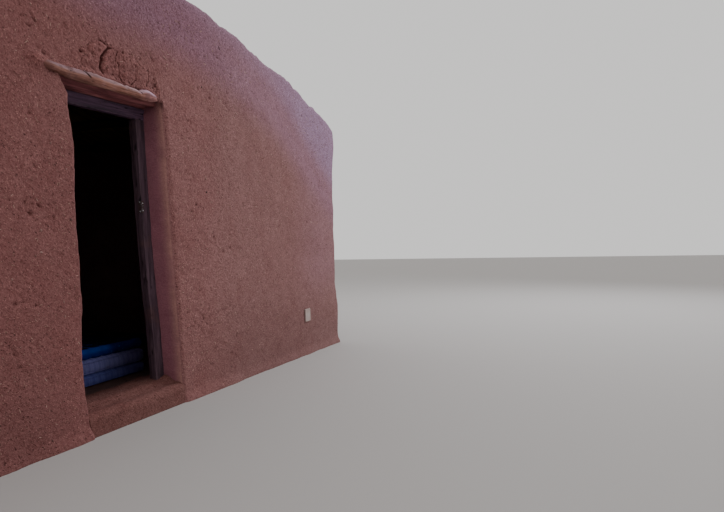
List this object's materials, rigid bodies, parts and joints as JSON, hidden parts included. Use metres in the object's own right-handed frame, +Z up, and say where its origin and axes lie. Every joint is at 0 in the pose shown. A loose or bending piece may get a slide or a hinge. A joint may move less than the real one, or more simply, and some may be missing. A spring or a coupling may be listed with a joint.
{
  "type": "adobe house",
  "caption": "Small adobe house: mud-brick walls, arched gable front with an open doorway, log lintel, set-back timber frame and a shallow arched pole, reed and mud roof.",
  "frame": {"origin": "on the ground at the middle of the walls' plan", "axes": "+X along the front, to the right as seen from outside; +Y from the front into the house, so the front faces -Y; +Z up"},
  "size_m": [6.64, 4.232, 2.8898],
  "materials": {
    "adobe": "chopped-straw mud coat, matte",
    "earth": "beaten earth, matte",
    "reed": "dry reeds",
    "pole_wood": "peeled round poles, matte",
    "lintel_wood": "debarked weathered log, matte",
    "frame_wood": "old bare timber, matte",
    "steel": "worn zinc-plated sheet",
    "cover": "dusty plastic cover",
    "mat_cloth": "cotton ticking",
    "quilt_cloth": "blue quilted cloth"
  },
  "bodies": {
    "root": {"front_wall_left": "adobe", "front_wall_right": "adobe", "front_wall_over_door": "adobe", "left_wall": "adobe", "right_wall": "adobe", "back_wall_left": "adobe", "back_wall_right": "adobe", "roof_mud": "adobe", "reed_layer": "reed", "roof_pole_01": "pole_wood", "roof_pole_02": "pole_wood", "roof_pole_03": "pole_wood", "roof_pole_04": "pole_wood", "roof_pole_05": "pole_wood", "roof_pole_06": "pole_wood", "roof_pole_07": "pole_wood", "roof_pole_08": "pole_wood", "roof_pole_09": "pole_wood", "roof_pole_10": "pole_wood", "roof_pole_11": "pole_wood", "roof_pole_12": "pole_wood", "lintel_log_1": "lintel_wood", "lintel_log_2": "lintel_wood", "lintel_log_3": "lintel_wood", "lintel_log_4": "lintel_wood", "lintel_log_5": "lintel_wood", "door_sill": "adobe", "frame_head": "frame_wood", "frame_left_jamb": "frame_wood", "frame_right_jamb": "frame_wood", "latch_keep": "steel", "earth_floor": "earth", "wall_box_cover": "cover", "lower_mat": "mat_cloth", "middle_mat": "mat_cloth", "blue_quilt": "quilt_cloth"}
  },
  "joints": []
}
